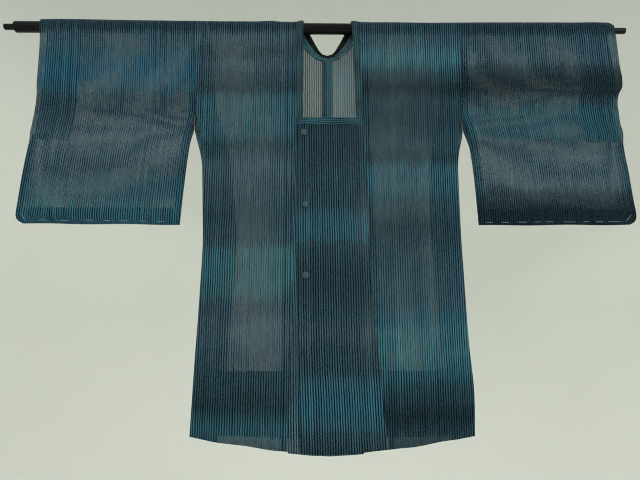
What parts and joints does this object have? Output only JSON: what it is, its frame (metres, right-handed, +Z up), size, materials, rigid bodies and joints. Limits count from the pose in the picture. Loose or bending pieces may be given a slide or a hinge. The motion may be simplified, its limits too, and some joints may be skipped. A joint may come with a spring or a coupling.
{
  "type": "kimono coat on a hanging rod",
  "caption": "Sheer striped square-necked kimono coat with a lapped front and covered buttons, hung flat on a round rod through both sleeves.",
  "frame": {"origin": "on the rod's axis, under the middle of the neck opening, where the rod holds the coat up", "axes": "+X to the viewer's right along the rod (the wearer's left), -Y out of the coat's front, +Z up"},
  "size_m": [1.4094, 0.0727, 0.9227],
  "materials": {
    "body_gauze": "sheer striped silk gauze, teal to slate",
    "panel_gauze": "sheer striped silk gauze, navy to teal",
    "sleeve_gauze": "sheer striped silk gauze, teal to slate",
    "band_gauze": "doubled striped silk gauze",
    "covered_button": "gauze stretched over a dome",
    "black_rod": "glossy black"
  },
  "bodies": {
    "root": {"rod": "black_rod", "body_right": "body_gauze", "body_left": "body_gauze", "panel_left_over": "panel_gauze", "panel_right_under": "panel_gauze", "sleeve_right": "sleeve_gauze", "sleeve_left": "sleeve_gauze", "collar_neck_band": "band_gauze", "collar_band_over": "band_gauze", "collar_band_under": "band_gauze", "button_1": "covered_button", "button_2": "covered_button", "button_3": "covered_button"}
  },
  "joints": []
}
